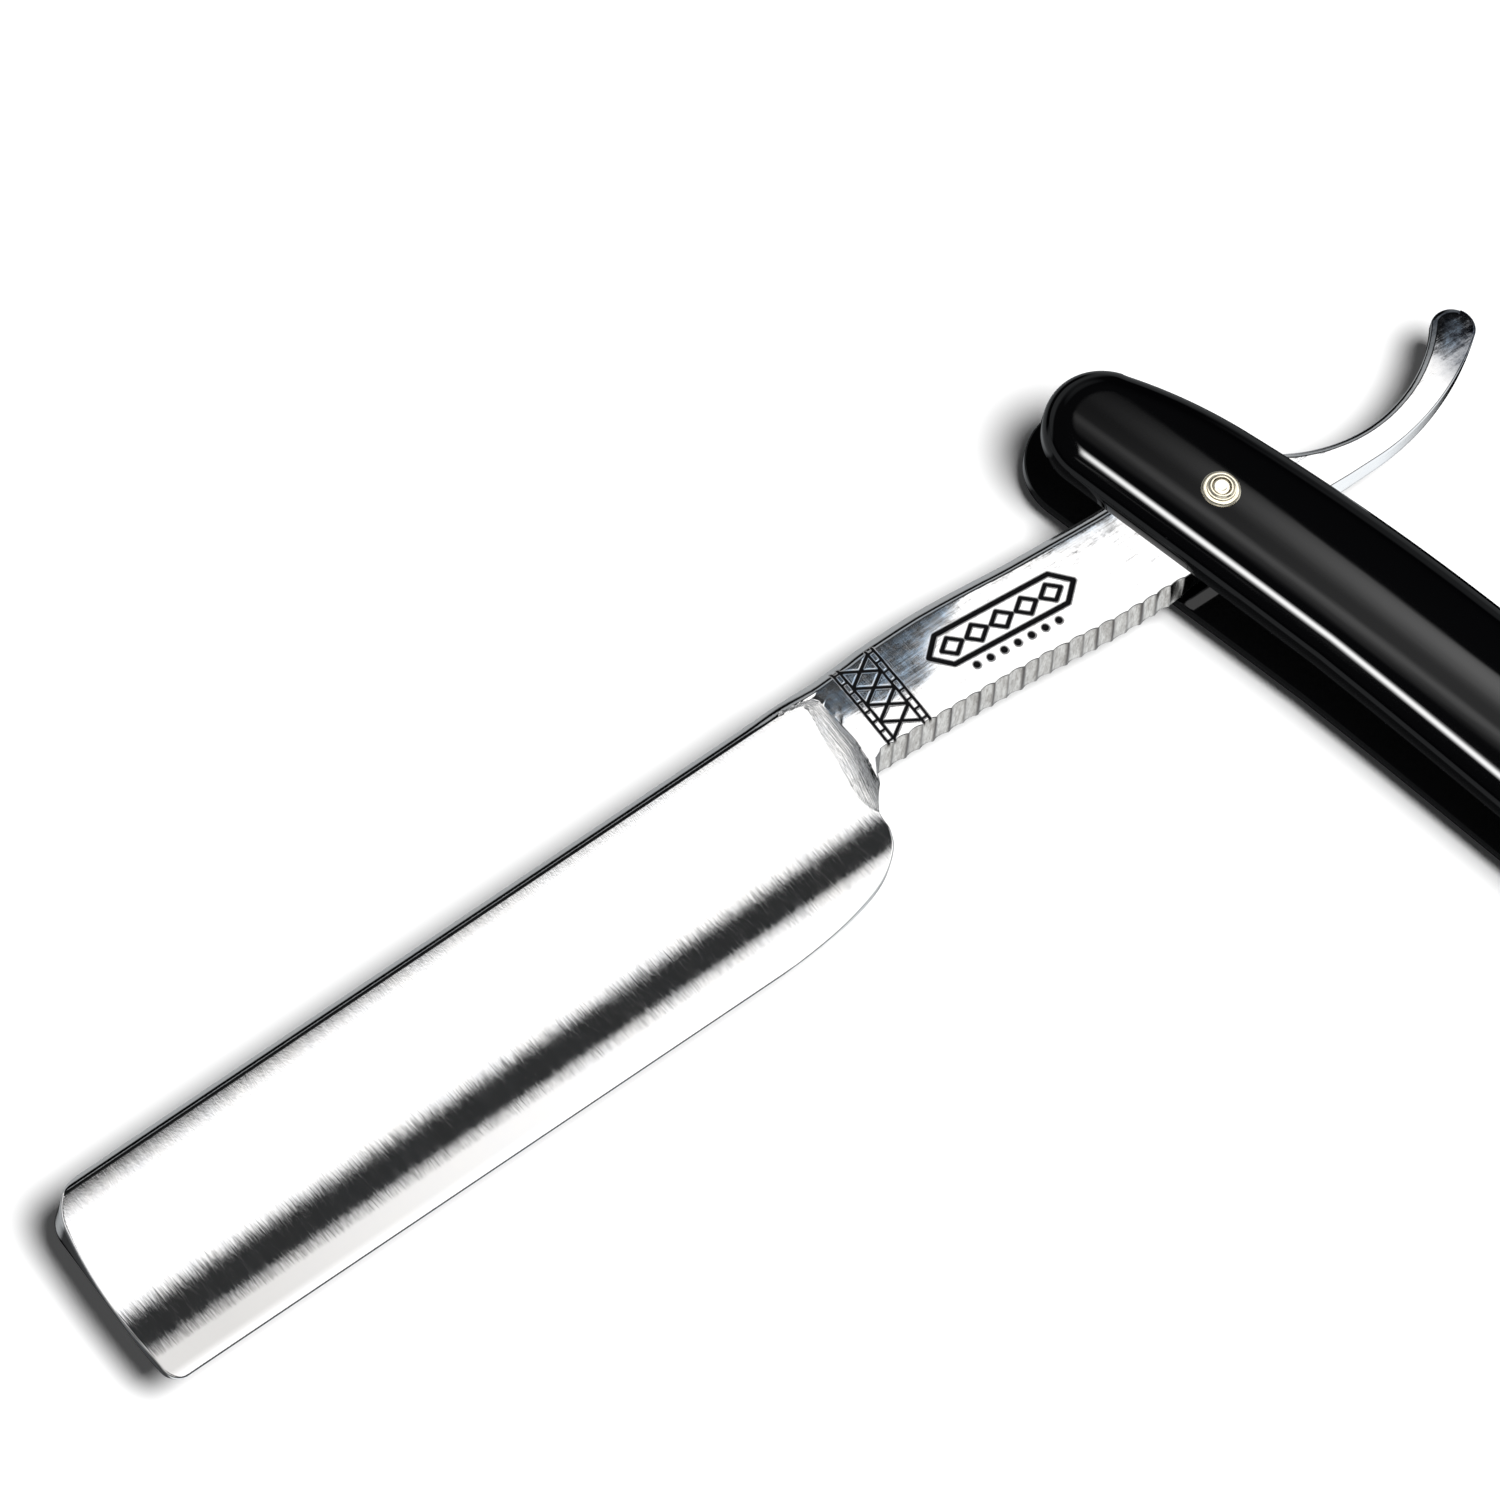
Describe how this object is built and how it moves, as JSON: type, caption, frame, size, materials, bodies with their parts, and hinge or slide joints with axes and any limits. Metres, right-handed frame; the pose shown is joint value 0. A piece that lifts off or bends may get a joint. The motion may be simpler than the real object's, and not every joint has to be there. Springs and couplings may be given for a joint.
{
  "type": "straight razor",
  "caption": "Folding straight razor with a hollow-ground steel blade, grooved shank and curled tail, pinned between two curved black scales.",
  "frame": {"origin": "on the pivot axis, at the flat outer face of the back pivot collar, which is the lowest point of the razor lying on its back", "axes": "+X along the handle from the pivot to the wedge end, +Z along the pivot pin towards the front scale, +Y completes a right-handed set; the blade folds in from -Y"},
  "size_m": [0.1738, 0.151, 0.0121],
  "materials": {
    "blade_steel": "mirror ground steel with fine cross grain",
    "scale_black": "polished black plastic",
    "wedge_black": "satin black plastic",
    "pin_nickel": "peened and polished nickel silver",
    "washer_nickel": "polished nickel silver",
    "inner_washer_brass": "plain brass"
  },
  "bodies": {
    "handle": {"scale_front": "scale_black", "scale_back": "scale_black", "wedge": "wedge_black", "pivot_pin": "pin_nickel", "pivot_base_washer_front": "washer_nickel", "pivot_base_washer_back": "washer_nickel", "pivot_collar_front": "washer_nickel", "pivot_collar_back": "washer_nickel", "pivot_inner_washer_front": "inner_washer_brass", "pivot_inner_washer_back": "inner_washer_brass", "wedge_pin": "pin_nickel", "wedge_base_washer_front": "washer_nickel", "wedge_base_washer_back": "washer_nickel", "wedge_collar_front": "washer_nickel", "wedge_collar_back": "washer_nickel"},
    "blade": {"blade": "blade_steel"}
  },
  "joints": [
    {"name": "blade_pivot", "type": "hinge", "parent": "handle", "child": "blade", "pos_m": [0, 0, 0.00605], "axis": [0, 0, 1], "range_deg": [-225, 97]}
  ]
}
